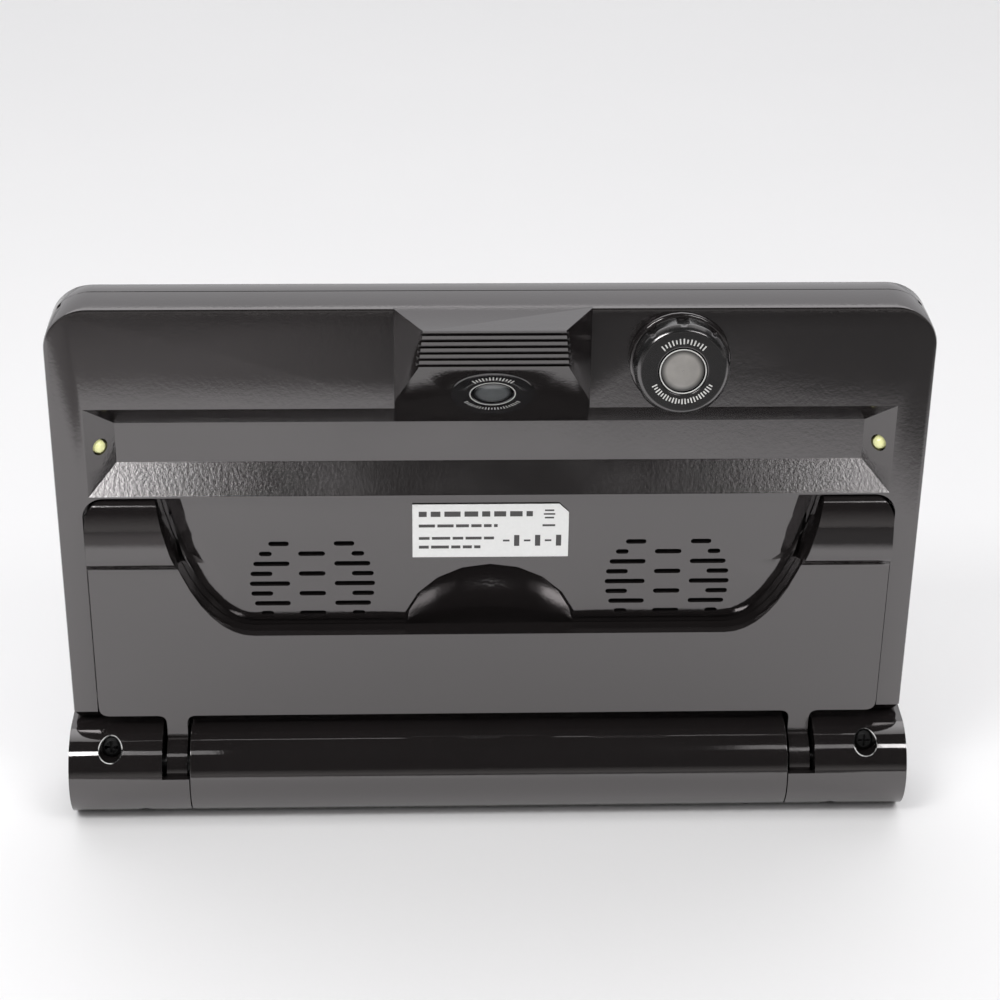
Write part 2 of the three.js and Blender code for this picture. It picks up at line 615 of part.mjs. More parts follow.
// Side view of plate and shoulder: flat plate, a steep little step, a long roll back, and a round nose.
function standSection() {
  const { footZ, crestZ, crestRise, backRadius, noseRadius } = SHOULDER;
  const roll = THREE.MathUtils.degToRad(SHOULDER.backDegrees);
  const innerY = behind(STAND_RISE - STAND_THICKNESS);
  const pocketY = behind(-POCKET_DEPTH) - 0.5;
  const backCentreY = behind(crestRise - backRadius);
  const noseCentreY = backCentreY - (backRadius - noseRadius) * Math.cos(roll);
  const noseCentreZ = crestZ + (backRadius - noseRadius) * Math.sin(roll);
  const noseEnd = Math.PI / 3;
  const shape = new THREE.Shape();
  shape.moveTo(behind(STAND_RISE), 5);
  shape.lineTo(innerY, 5);
  shape.lineTo(innerY, POCKET_LOW_Z + 0.8);
  shape.lineTo(pocketY, POCKET_LOW_Z + 4);
  shape.lineTo(pocketY, noseCentreZ);
  shape.absarc(noseCentreY, noseCentreZ, noseRadius, noseEnd, Math.PI - roll);
  shape.absarc(backCentreY, crestZ, backRadius, Math.PI - roll, Math.PI);
  shape.bezierCurveTo(
    behind(crestRise), crestZ - 2.1, behind(STAND_RISE), footZ + 1.9, behind(STAND_RISE), footZ);
  return shape;
}

function stand() {
  const outline = cut(upright(standOutline(), -20, 5, 5), upright(insideOfStand(0), -30, 10, 10));
  const form = outline.intersect(alongX(standSection(), -100, 100, 14));
  const knuckles = [-1, 1].map((side) => {
    const [from, to] = outward(side, TAB.inner, TAB.outer);
    return rod(AXIS_Y, AXIS_Z, KNUCKLE_RADIUS, from, to, 24);
  });
  const bores = rod(AXIS_Y, AXIS_Z, PIN.radius + GAP, -FAR, FAR);
  return cut(joined(form, ...knuckles), bores);
}

// ---------------------------------------------------------------- lenses and lights
const FAR_TILT = THREE.MathUtils.degToRad(FAR_LENS.tilt);
function farLensPose(geometry, lift) {
  const direction = new THREE.Vector3(0, -Math.cos(FAR_TILT), Math.sin(FAR_TILT));
  const point = new THREE.Vector3(FAR_LENS.x, BACK_Y, FAR_LENS.z).addScaledVector(direction, lift);
  return aimed(geometry, point, direction);
}

const NEAR_NORMAL = new THREE.Vector3(0, -1, -LENS_SLOPE).normalize();
function nearLensPose(geometry, lift) {
  const point = new THREE.Vector3(0, behind(slopeRise(NEAR_LENS_Z)), NEAR_LENS_Z);
  point.addScaledVector(NEAR_NORMAL, lift);
  return aimed(geometry, point, NEAR_NORMAL);
}

// The fixed collar leans back with the lens, so its foot is trimmed to the flat back plane.
function farLensCollar() {
  const ring = solid(farLensPose(turned([
    [0, -3], [11.2, -3], [11.2, 2.2], [10.7, 2.7], [8.4, 2.7], [8.4, 3.6], [0, 3.6],
  ], 32), 0));
  const stem = solid(farLensPose(rodGeometry(6.8, 6), -1.4));
  const standing = joined(cut(ring, block(20, 60, behind(GAP), 10, 100, 140)), stem);
  return cut(standing, solid(farLensPose(rodGeometry(5.2, 30), 0)));
}

// The focus ring: a cap over the collar, with nine finger notches scooped out of its skirt.
const KNOB = { low: 3.1, skirt: 7.4, face: 9.0, radius: 10.5, faceRadius: 9.1, notches: 9, notchRadius: 1.7 };
function farLensKnob() {
  const shoulder = KNOB.skirt + 0.9;
  const body = solid(turned([
    [0, KNOB.low], [KNOB.radius - 0.3, KNOB.low], [KNOB.radius, KNOB.low + 0.4], [KNOB.radius, KNOB.skirt],
    [KNOB.radius - 0.5, shoulder], [KNOB.faceRadius + 0.3, KNOB.face - 0.4],
    [KNOB.faceRadius, KNOB.face], [0, KNOB.face],
  ], 36));
  const notches = [];
  for (let i = 0; i < KNOB.notches; i += 1) {
    const angle = Math.PI / 2 + i * Math.PI * 2 / KNOB.notches;
    const reach = KNOB.radius + KNOB.notchRadius - 0.85;
    const notch = rodGeometry(KNOB.notchRadius, shoulder - KNOB.low + OVER, 8);
    notch.translate(reach * Math.cos(angle), reach * Math.sin(angle), (shoulder + KNOB.low) / 2 - 0.8);
    notches.push(solid(notch));
  }
  const socket = solid(rodGeometry(8.7, 1.0, 32).translate(0, 0, KNOB.low + 0.4));
  const lensSeat = solid(rodGeometry(5.35, 30, 32));
  return geometryOf(cut(body, ...notches, socket, lensSeat));
}

function lensGeometry(radius, rim, dome) {
  const profile = [[0, -rim], [radius, -rim], [radius, 0]];
  const steps = 3;
  for (let i = 1; i <= steps; i += 1) {
    const share = i / steps;
    profile.push([radius * Math.cos(share * Math.PI / 2), dome * Math.sin(share * Math.PI / 2)]);
  }
  profile[profile.length - 1][0] = 0;
  return turned(profile, 24);
}

function ledGeometry() {
  const { radius } = LED;
  return turned([
    [0, -5.2], [radius + 0.3, -5.2], [radius + 0.3, -4.4], [radius, -4.4], [radius, -0.9],
    [radius * 0.87, -0.3], [radius * 0.5, 0.15], [0, 0.3],
  ], 12);
}

// ---------------------------------------------------------------- screen half
const GLASS = { x: 79.5, z: 46, rear: 8.8, front: FRONT_Y - 0.1 };
function frontBezel() {
  const outline = roundedRectangle(-HALF_WIDTH + 0.1, 1.2, HALF_WIDTH - 0.1, HEIGHT, 4, CORNER_RADIUS);
  const frame = roundedUpright(outline, SEAM_Y + GAP, FRONT_Y, 0.7, { roundFront: true });
  const glassSeat = upright(roundedRectangle(
    -GLASS.x - GAP, SCREEN_Z - GLASS.z - GAP, GLASS.x + GAP, SCREEN_Z + GLASS.z + GAP, 2),
  GLASS.rear - GAP, FRONT_Y + OVER, 3);
  const [windowX, windowZ] = [77.3, 43.2];
  const window = block(-windowX, windowX, 0, FRONT_Y + OVER, SCREEN_Z - windowZ, SCREEN_Z + windowZ);
  const panelSeat = block(
    -LCD.x - GAP, LCD.x + GAP, 0, LCD.front + GAP, SCREEN_Z - LCD.z - GAP, SCREEN_Z + LCD.z + GAP);
  const keyHoles = KEYS.flatMap((key) => {
    const grow = GAP + 0.05;
    const hole = keyShape(key, grow);
    const room = keyShape(key, KEY.flange + grow);
    return [upright(hole, 0, FRONT_Y + OVER, 2), upright(room, 0, KEY.rear + 1, 1)];
  });
  return cut(frame, glassSeat, window, panelSeat, ...keyHoles);
}

// Three keys on each side of the screen: position, half width and half height of the cap.
const KEY = { x: 88.9, halfX: 4.1, halfZ: 7.4, flange: 0.7, rear: 7.4, front: 10.6, radius: 2 };
const KEYS = [
  { name: 'power_button', side: -1, z: 104, half: 4.1, material: KEY_WHITE },
  { name: 'camera_switch_button', side: -1, z: 76, half: KEY.halfZ, material: KEY_WHITE },
  { name: 'freeze_button', side: -1, z: 48, half: KEY.halfZ, material: KEY_BLUE },
  { name: 'colour_mode_button', side: 1, z: 104, half: KEY.halfZ, material: KEY_BLUE },
  { name: 'zoom_in_button', side: 1, z: 76, half: KEY.halfZ, material: KEY_YELLOW },
  { name: 'zoom_out_button', side: 1, z: 48, half: KEY.halfZ, material: KEY_YELLOW },
];

function keyShape(key, grow) {
  const x = key.side * KEY.x;
  const [w, h] = [KEY.halfX + grow, key.half + grow];
  return roundedRectangle(x - w, key.z - h, x + w, key.z + h, KEY.radius + grow);
}

function keyCap(key) {
  const cap = roundedUpright(
    keyShape(key, 0), KEY.rear, KEY.front, 0.4, { steps: 1, curveSegments: 2, roundFront: true });
  return joined(cap, upright(keyShape(key, KEY.flange), KEY.rear, KEY.rear + 0.6, 1));
}

// ---------------------------------------------------------------- electronics inside
function speaker(side) {
  const { radius, coneRadius, rim, thick } = SPEAKER;
  const driver = turned([
    [0, 0], [radius, 0], [radius, rim], [coneRadius, rim], [coneRadius, thick], [0, thick],
  ], 16);
  const seat = new THREE.Vector3(side * GRILLE.x, SPEAKER.rear, GRILLE.z);
  return aimed(driver, seat, new THREE.Vector3(0, 1, 0));
}

const BUTTON_BOARD = { inner: 83.6, outer: 94.6, rear: 3.9, front: 4.7, low: 34, high: 122 };
function mainBoard() {
  const board = block(-89, -26, -0.6, 0.4, 108.8, 125.6);
  const processor = block(-66, -54, -1.9, -0.5, 112, 123);
  const memory = block(-48, -40, -1.6, -0.5, 113, 122);
  const connector = block(-84, -76, -2.2, -0.5, 111, 118);
  return joined(board, processor, memory, connector);
}

function nearCameraModule() {
  const sensor = new THREE.BoxGeometry(9, 9, 1.6).translate(0, 0, -6.6);
  const barrel = rodGeometry(3.6, 5, 24).translate(0, 0, -3.9);
  return nearLensPose(geometryOf(joined(solid(sensor), solid(barrel))), 0);
}

function socketShell(socket) {
  const [from, to] = outward(socket.side, SOCKET_X.inner, SOCKET_X.outer);
  const { z, halfY, halfZ } = socket;
  const shell = block(from, to, SOCKET_Y - halfY, SOCKET_Y + halfY, z - halfZ, z + halfZ);
  const [mouthFrom, mouthTo] = outward(socket.side, SOCKET_X.mouth, SOCKET_X.outer + OVER);
  const rim = 0.5;
  const hole = socket.round
    ? rod(SOCKET_Y, z, halfY - 0.3, mouthFrom, mouthTo, 16)
    : block(
      mouthFrom, mouthTo, SOCKET_Y - halfY + rim, SOCKET_Y + halfY - rim, z - halfZ + rim, z + halfZ - rim);
  return cut(shell, hole);
}

// ---------------------------------------------------------------- label
function ratingLabel() {
  const [halfX, low, high, clip] = [17.85, 65.9, 79.7, 2.2];
  const shape = polygon([
    [-halfX, low], [halfX, low], [halfX, high - clip], [halfX - clip, high], [-halfX, high],
  ]);
  const faceY = behind(-PLATEAU_DEPTH);
  return upright(shape, faceY - 0.45, faceY - 0.3);
}

// ---------------------------------------------------------------- put it together
function assemble() {
  placeSolid('rear_housing', rearHousing(), GLOSS_BLACK);
  placeSolid('front_bezel', frontBezel(), GLOSS_BLACK);
  placeSolid('lcd_panel', block(
    -LCD.x, LCD.x, LCD.rear, LCD.front, SCREEN_Z - LCD.z, SCREEN_Z + LCD.z), SCREEN_GREY);
  const glassOutline = roundedRectangle(-GLASS.x, SCREEN_Z - GLASS.z, GLASS.x, SCREEN_Z + GLASS.z, 1.7);
  placeSolid('display_glass', upright(glassOutline, GLASS.rear, GLASS.front, 3), CLEAR_GLASS);
  placeSolid('main_board', mainBoard(), BOARD_GREEN);
  placeSolid('barrel_centre', barrelCentre(), GLOSS_BLACK);
  placeSolid('stand_plate', stand(), GLOSS_BLACK);
  placeSolid('rating_label', ratingLabel(), PAPER_WHITE);

  for (const [side, hand] of [[-1, 'left'], [1, 'right']]) {
    placeSolid(`barrel_end_${hand}`, barrelEnd(side), GLOSS_BLACK);
    placeSolid(`barrel_plug_${hand}`, barrelPlug(side), SATIN_BLACK);
    const pin = rod(AXIS_Y, AXIS_Z, PIN.radius, ...outward(side, PIN.inner, PIN.outer));
    placeSolid(`hinge_pin_${hand}`, pin, STEEL);
    placeSolid(`hinge_bracket_${hand}`, hingeBracket(side), STEEL);
    const cell = rod(CELL.y, AXIS_Z, CELL.radius, ...outward(side, 0.4, 0.4 + CELL.length), 32);
    placeSolid(`battery_cell_${hand}`, cell, CELL_BLUE);
    place(`speaker_${hand}`, speaker(side), CONE_GREY);
    place(`led_${hand}`, ledPose(ledGeometry(), side, 0.6), LED_YELLOW);
    const { inner, outer, rear, front, low, high } = BUTTON_BOARD;
    const keyBoard = block(...outward(side, inner, outer), rear, front, low, high);
    placeSolid(`button_board_${hand}`, keyBoard, BOARD_GREEN);
    const { direction, point } = rearScrewLine(side);
    const rearScrew = screwGeometry(REAR_SCREW.head, 1.0, 11.6);
    const seat = point.clone().addScaledVector(direction, 5.3);
    place(`rear_screw_${hand}`, aimed(rearScrew, seat, direction), DARK_STEEL);
    const footScrew = screwGeometry(FOOT_SCREW.head, 1.0, 7.5);
    const footSeat = new THREE.Vector3(side * FOOT_SCREW.x, FOOT_SCREW.y, 4.7);
    place(`foot_screw_${hand}`, aimed(footScrew, footSeat, new THREE.Vector3(0, 0, -1)), DARK_STEEL);
  }

  for (const socket of SOCKETS) placeSolid(socket.name, socketShell(socket), STEEL);
  for (const key of KEYS) placeSolid(key.name, keyCap(key), key.material);

  place('near_camera_module', nearCameraModule(), SATIN_BLACK);
  const disc = cut(solid(rodGeometry(9.25, 0.9, 32)), solid(rodGeometry(4.6, 5, 24)));
  place('near_lens_disc', nearLensPose(geometryOf(disc), -0.3), CLEAR_GLASS);
  place('near_lens_glass', nearLensPose(lensGeometry(4.2, 0.8, 0.35), -0.1), CLEAR_GLASS);

  placeSolid('far_lens_collar', farLensCollar(), GLOSS_BLACK);
  place('far_lens_knob', farLensPose(farLensKnob(), 0), GLOSS_BLACK);
  place('far_lens_glass', farLensPose(lensGeometry(4.9, 6.5, 0.5), KNOB.face - 0.7), CLEAR_GLASS);
}

assemble();
export default magnifier;
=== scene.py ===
# %% [markdown]
# A desktop video magnifier, seen from behind: a glossy black screen unit that stands on a round battery
# barrel, with its folding stand shut against its back. This lesson loads the engineering model as a fixed
# frame, and then gives every piece the surface that a moulding shop would give it. Nothing is moved: each
# new skin is laid exactly where the engineering piece is.

# %% Load the frame
import bpy
import bmesh
import json
import math
import numpy as np
from mathutils import Matrix, Vector

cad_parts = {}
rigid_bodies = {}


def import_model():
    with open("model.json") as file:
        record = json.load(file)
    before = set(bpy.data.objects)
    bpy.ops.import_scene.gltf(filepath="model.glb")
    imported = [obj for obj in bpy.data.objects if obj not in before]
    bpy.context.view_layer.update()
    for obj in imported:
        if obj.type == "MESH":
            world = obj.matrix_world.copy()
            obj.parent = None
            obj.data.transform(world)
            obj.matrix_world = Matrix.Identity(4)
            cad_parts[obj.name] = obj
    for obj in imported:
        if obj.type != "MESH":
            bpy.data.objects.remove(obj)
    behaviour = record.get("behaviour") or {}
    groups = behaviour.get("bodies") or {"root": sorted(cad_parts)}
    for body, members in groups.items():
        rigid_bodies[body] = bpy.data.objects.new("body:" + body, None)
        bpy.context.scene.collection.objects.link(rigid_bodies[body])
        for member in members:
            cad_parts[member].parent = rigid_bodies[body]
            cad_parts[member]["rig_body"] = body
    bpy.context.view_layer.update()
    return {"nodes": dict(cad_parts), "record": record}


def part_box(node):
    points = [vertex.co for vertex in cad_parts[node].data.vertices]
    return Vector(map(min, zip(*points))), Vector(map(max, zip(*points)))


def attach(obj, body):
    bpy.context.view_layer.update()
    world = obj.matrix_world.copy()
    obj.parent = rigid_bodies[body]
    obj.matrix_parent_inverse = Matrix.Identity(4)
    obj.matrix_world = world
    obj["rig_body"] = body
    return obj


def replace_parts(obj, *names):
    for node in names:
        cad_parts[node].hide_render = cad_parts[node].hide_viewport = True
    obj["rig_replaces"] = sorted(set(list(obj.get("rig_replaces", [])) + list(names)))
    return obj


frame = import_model()
MM = 0.001
SLOT_OF = {row["node"]: row["material_slot"] for row in frame["record"]["subparts"]}
CASE_BODY = frame["nodes"]["rear_housing"]["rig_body"]
KNOB_BODY = frame["nodes"]["far_lens_knob"]["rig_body"]

# %% [markdown]
# The camera stands above the table and looks down on the back of the unit through a moderately long lens. It
# stands close, a little over half a metre away, so the sides draw together towards the foot as they do on a
# desk, and its head leans very slightly.

# %% Camera
CAMERA_PLACE = Vector((-0.0168, -0.4936, 0.3507))
CAMERA_TARGET = Vector((0.0020, -0.0043, 0.0817))
CAMERA_LENS_MM, SENSOR_MM = 88.9, 36
CAMERA_LEAN = math.radians(0.7)


def camera_matrix(place, target, lean):
    """Looks from place to target: right is forward x up, then right and up turn by the lean."""
    forward = (target - place).normalized()
    right = forward.cross(Vector((0, 0, 1))).normalized()
    up = right.cross(forward)
    leaning_right = right * math.cos(lean) + up * math.sin(lean)
    leaning_up = up * math.cos(lean) - right * math.sin(lean)
    turn = Matrix((leaning_right, leaning_up, -forward)).transposed().to_4x4()
    return Matrix.Translation(place) @ turn


camera_data = bpy.data.cameras.new("camera")
camera_data.lens = CAMERA_LENS_MM
camera_data.sensor_width = SENSOR_MM
camera = bpy.data.objects.new("camera", camera_data)
bpy.context.scene.collection.objects.link(camera)
camera.matrix_world = camera_matrix(CAMERA_PLACE, CAMERA_TARGET, CAMERA_LEAN)
bpy.context.scene.camera = camera
bpy.context.scene.view_settings.view_transform = "Standard"
print("camera at", tuple(round(v, 4) for v in CAMERA_PLACE))

# %% [markdown]
# Every finish here is a small network of nodes, and the same few steps come back in all of them: a noise, a
# change of range, a blend of two colours, a bump. So each step is one short function. Patterns hang on the
# object coordinates, which are metres on the real piece, so that a grain keeps its true size.

# %% Helpers for node materials
def new_material(name):
    """A material with its node tree and its principled shader."""
    material = bpy.data.materials.new(name)
    material.use_nodes = True
    tree = material.node_tree
    return material, tree, tree.nodes["Principled BSDF"]


def set_inputs(node, **values):
    """Sets a node's sockets by name; an underscore stands for a space."""
    for key, value in values.items():
        node.inputs[key.replace("_", " ")].default_value = value


def object_coordinates(tree):
    """Object coordinates, in metres."""
    return tree.nodes.new("ShaderNodeTexCoord").outputs["Object"]


def coordinate(tree, axis):
    """One of the object coordinates: X, Y or Z."""
    split = tree.nodes.new("ShaderNodeSeparateXYZ")
    tree.links.new(object_coordinates(tree), split.inputs["Vector"])
    return split.outputs[axis]


def calculate(tree, operation, *values):
    """One step of arithmetic, in which each value is a number or a socket."""
    node = tree.nodes.new("ShaderNodeMath")
    node.operation = operation
    for socket, value in zip(node.inputs, values):
        if isinstance(value, (int, float)):
            socket.default_value = value
        else:
            tree.links.new(value, socket)
    return node.outputs["Value"]


def noise(tree, vector, scale, detail=3, roughness=0.5):
    """Fractal noise between 0 and 1, with `scale` cells a metre."""
    node = tree.nodes.new("ShaderNodeTexNoise")
    set_inputs(node, Scale=scale, Detail=detail, Roughness=roughness)
    tree.links.new(vector, node.inputs["Vector"])
    return node.outputs["Fac"]


def remap(tree, value, low, high, to_low, to_high):
    """Moves a value from the range low..high to to_low..to_high and holds it there."""
    node = tree.nodes.new("ShaderNodeMapRange")
    for index, number in enumerate((low, high, to_low, to_high)):
        node.inputs[index + 1].default_value = number
    tree.links.new(value, node.inputs["Value"])
    return node.outputs["Result"]


def blend_colours(tree, factor, first, second):
    """Goes from the first colour to the second as the factor goes from 0 to 1."""
    node = tree.nodes.new("ShaderNodeMix")
    node.data_type = "RGBA"
    tree.links.new(factor, node.inputs["Factor"])
    for socket, colour in (("A", first), ("B", second)):
        target = next(i for i in node.inputs if i.name == socket and i.type == "RGBA")
        if isinstance(colour, tuple):
            target.default_value = (*colour, 1)
        else:
            tree.links.new(colour, target)
    return next(o for o in node.outputs if o.type == "RGBA")


def bump(tree, height, distance, strength=1.0, base=None):
    """Tilts the surface by a height value, whose full step is `distance` metres."""
    node = tree.nodes.new("ShaderNodeBump")
    set_inputs(node, Strength=strength, Distance=distance)
    tree.links.new(height, node.inputs["Height"])
    if base is not None:
        tree.links.new(base, node.inputs["Normal"])
    return node.outputs["Normal"]


# %% [markdown]
# Polished black plastic has almost no colour of its own. What the eye reads is the room mirrored in it, so
# the studio comes before the finishes. The table is one pale sheet, as seamless studio paper is. A curved
# sweep could be built, but the camera looks down, so a wide flat sheet shows the same. The sheet ends a
# little in front of the unit, on a slant, and the darker bench past its edge is what the upper half of the
# back mirrors. The bench is lighter on the left, as if light spilled on it there.

# %% Table
def face_outwards(mesh):
    """Turns every face of a closed mesh so that its normal points out."""
    work = bmesh.new()
    work.from_mesh(mesh)
    bmesh.ops.recalc_face_normals(work, faces=work.faces)
    work.to_mesh(mesh)
    work.free()


def grid_mesh(name, points, closed_u=False, closed_v=False):
    """A mesh over an array of points [row, column, xyz]: each cell is one quad."""
    rows, columns = points.shape[:2]
    index = np.arange(rows * columns).reshape(rows, columns)
    if closed_u:
        index = np.vstack([index, index[:1]])
    if closed_v:
        index = np.hstack([index, index[:, :1]])
    quads = np.stack([index[:-1, :-1], index[1:, :-1], index[1:, 1:], index[:-1, 1:]], -1).reshape(-1, 4)
    mesh = bpy.data.meshes.new(name)
    mesh.from_pydata(points.reshape(-1, 3).tolist(), [], quads.tolist())
    if closed_u and closed_v:
        face_outwards(mesh)
    piece = bpy.data.objects.new(name, mesh)
    bpy.context.scene.collection.objects.link(piece)
    return piece


TABLE_HALF = 4.0
PAPER_TONES = (0.85, 0.845, 0.85), (0.88, 0.872, 0.876)
BENCH_LEFT, BENCH_RIGHT = (0.30, 0.29, 0.29), (0.10, 0.10, 0.10)
EDGE_SLANT, EDGE_STARTS, EDGE_ENDS = 0.3, 0.195, 0.28
SPILL_FULL, SPILL_GONE = -0.12, 0.02

lines = np.linspace(-TABLE_HALF, TABLE_HALF, 9)
table_x, table_y = np.meshgrid(lines, lines[::-1], indexing="ij")
table = grid_mesh("table", np.stack([table_x, table_y, np.zeros_like(table_x)], -1))

paper, tree, shader = new_material("table_paper")
place = object_coordinates(tree)
tint = blend_colours(tree, noise(tree, place, 9, 4), *PAPER_TONES)
in_front = calculate(tree, "MULTIPLY", coordinate(tree, "Y"), -1)
slanted = calculate(tree, "MULTIPLY_ADD", coordinate(tree, "X"), EDGE_SLANT, in_front)
past_edge = remap(tree, slanted, EDGE_STARTS, EDGE_ENDS, 0, 1)
to_right = remap(tree, coordinate(tree, "X"), SPILL_FULL, SPILL_GONE, 0, 1)
bench = blend_colours(tree, to_right, BENCH_LEFT, BENCH_RIGHT)
tree.links.new(blend_colours(tree, past_edge, tint, bench), shader.inputs["Base Color"])
set_inputs(shader, Roughness=0.55)
tree.links.new(bump(tree, noise(tree, place, 900, 2), 0.0002, 0.15), shader.inputs["Normal"])
table.data.materials.append(paper)
print("table:", TABLE_HALF * 2, "m square")

# %% [markdown]
# Two long strip lamps hang high in front, one on each side, and the gap between them leaves the middle of the
# slopes dark. A weak lamp reaches further inwards from each strip, so that the mirrored strip fades out
# instead of ending at a line. The broad lamp overhead is only there to be mirrored in the top rim. Two soft
# lamps light the paper in front and behind, and the black plastic does not mirror them. The room is a plain
# gradient: white behind the unit, and dark in front of it down to a low glow.

# %% Lamps and room
def area_lamp(name, place, target, width, depth, power):
    """A rectangular lamp at place that faces target."""
    data = bpy.data.lights.new(name, "AREA")
    data.shape = "RECTANGLE"
    data.size, data.size_y, data.energy = width, depth, power
    lamp = bpy.data.objects.new(name, data)
    bpy.context.scene.collection.objects.link(lamp)
    lamp.location = place
    lamp.rotation_euler = (Vector(target) - Vector(place)).to_track_quat("-Z", "Y").to_euler()
    return lamp


STRIP_Y, STRIP_DEPTH, STRIP_AIM_Z = -0.37, 0.12, 0.06
for name, across, high, width, power in (
    ("strip_left", -0.35, 0.61, 0.34, 1.6),
    ("strip_left_edge", -0.26, 0.62, 0.28, 0.10),
    ("strip_right", 0.39, 0.61, 0.34, 0.8),
    ("strip_right_edge", 0.29, 0.62, 0.28, 0.10),
):
    area_lamp(name, (across, STRIP_Y, high), (across, 0, STRIP_AIM_Z), width, STRIP_DEPTH, power)
overhead = area_lamp("overhead", (0.0, 0.5, 1.3), (0, 0.05, 0), 2.4, 1.0, 6.5)
overhead.visible_diffuse = False
fill = area_lamp("fill", (0.0, -0.75, 1.4), (0, -0.15, 0), 2.8, 1.8, 23.5)
fill_behind = area_lamp("fill_behind", (0.0, 1.1, 1.1), (0, 0.9, 0), 2.6, 0.8, 5.0)
for lamp in (fill, fill_behind):
    lamp.visible_glossy = False

ROOM_BEHIND, ROOM_DARK, ROOM_GLOW = (0.92, 0.92, 0.94), (0.016, 0.016, 0.016), (0.30, 0.295, 0.29)
world = bpy.data.worlds.new("room")
bpy.context.scene.world = world
world.use_nodes = True
room = world.node_tree
direction = room.nodes.new("ShaderNodeSeparateXYZ")
room.links.new(room.nodes.new("ShaderNodeTexCoord").outputs["Generated"], direction.inputs["Vector"])
behind_unit = remap(room, direction.outputs["Y"], 0.05, 0.42, 0, 1)
low_down = remap(room, direction.outputs["Z"], 0.05, 0.26, 1, 0)
in_front = blend_colours(room, low_down, ROOM_DARK, ROOM_GLOW)
everywhere = blend_colours(room, behind_unit, in_front, ROOM_BEHIND)
room.links.new(everywhere, room.nodes["Background"].inputs["Color"])

# %% [markdown]
# The big mouldings are polished black ABS. Three things keep it from looking like computer black: a faint
# orange-peel ripple left by the mould, a fine leather grain that shows only where a lamp is mirrored, and
# handling: smudges that change the polish from place to place, and a little pale dust. At the height of the
# lighting channel's lower wall the grain is stronger and the polish duller, so the lamps break up on it. The
# index of refraction is set above the 1.54 of real ABS, which strengthens every reflection, and the mirror
# tint is slightly warm.

# %% Polished black plastic
WALL_LOW, WALL_HIGH, WALL_HALF, WALL_SOFT = 0.0832, 0.0889, 0.0898, 0.0005
WALL_DULLER, WALL_GRAIN = 0.10, 0.55
BLACK_ABS, DUST = (0.0110, 0.0095, 0.0095), (0.10, 0.098, 0.095)
MIRROR_TINT, BLACK_IOR = (1.0, 0.962, 0.966, 1.0), 2.15


def channel_wall(tree):
    """1 at the height and width of the lighting channel's lower wall, 0 elsewhere, with a soft edge."""
    height, aside = coordinate(tree, "Z"), calculate(tree, "ABSOLUTE", coordinate(tree, "X"))
    rising = remap(tree, height, WALL_LOW - WALL_SOFT, WALL_LOW, 0, 1)
    falling = remap(tree, height, WALL_HIGH, WALL_HIGH + WALL_SOFT, 1, 0)
    within = remap(tree, aside, WALL_HALF, WALL_HALF + WALL_SOFT, 1, 0)
    return calculate(tree, "MULTIPLY", calculate(tree, "MULTIPLY", rising, falling), within)


def black_plastic(name, polish, smudged, grain, dark=BLACK_ABS, dust=0.35, channel=False):
    """Black plastic: smudges move the roughness between polish and smudged, grain is the leather bump."""
    material, tree, shader = new_material(name)
    place = object_coordinates(tree)
    roughness = remap(tree, noise(tree, place, 22, 5, 0.6), 0.42, 0.68, polish, smudged)
    peel = bump(tree, noise(tree, place, 240, 1), 0.00004, 0.35)
    leather = bump(tree, noise(tree, place, 1300, 3, 0.55), 0.00006, grain, peel)
    if channel:
        wall = channel_wall(tree)
        roughness = calculate(tree, "MULTIPLY_ADD", wall, WALL_DULLER, roughness)
        tree.links.new(remap(tree, wall, 0, 1, grain, WALL_GRAIN), leather.node.inputs["Strength"])
    tree.links.new(roughness, shader.inputs["Roughness"])
    specks = remap(tree, noise(tree, place, 1500, 2, 0.5), 0.70, 0.78, 0, dust)
    body = blend_colours(tree, noise(tree, place, 60, 3), dark, tuple(1.35 * c for c in dark))
    tree.links.new(blend_colours(tree, specks, body, DUST), shader.inputs["Base Color"])
    tree.links.new(leather, shader.inputs["Normal"])
    set_inputs(shader, IOR=BLACK_IOR, Specular_Tint=MIRROR_TINT)
    return material


gloss_black = black_plastic("polished_black_abs", 0.07, 0.16, 0.3, channel=True)
stand_black = black_plastic("stand_black_abs", 0.06, 0.14, 0.12)
barrel_black = black_plastic("barrel_black_abs", 0.04, 0.10, 0.06)
print("black plastics made")

# %% [markdown]
# A moulding never has a knife edge: every edge carries a small radius, and on polished black that radius is
# the thin bright line that draws the shape. The engineering solids have sharp edges, so each one is copied,
# its loose triangles are welded and its flat faces made whole, and a bevel rolls every real edge over.

# %% Rounded copies of the engineering solids
WELD = 2e-6
FLAT_ANGLE = math.radians(0.6)
SMOOTH_ANGLE = math.radians(28)


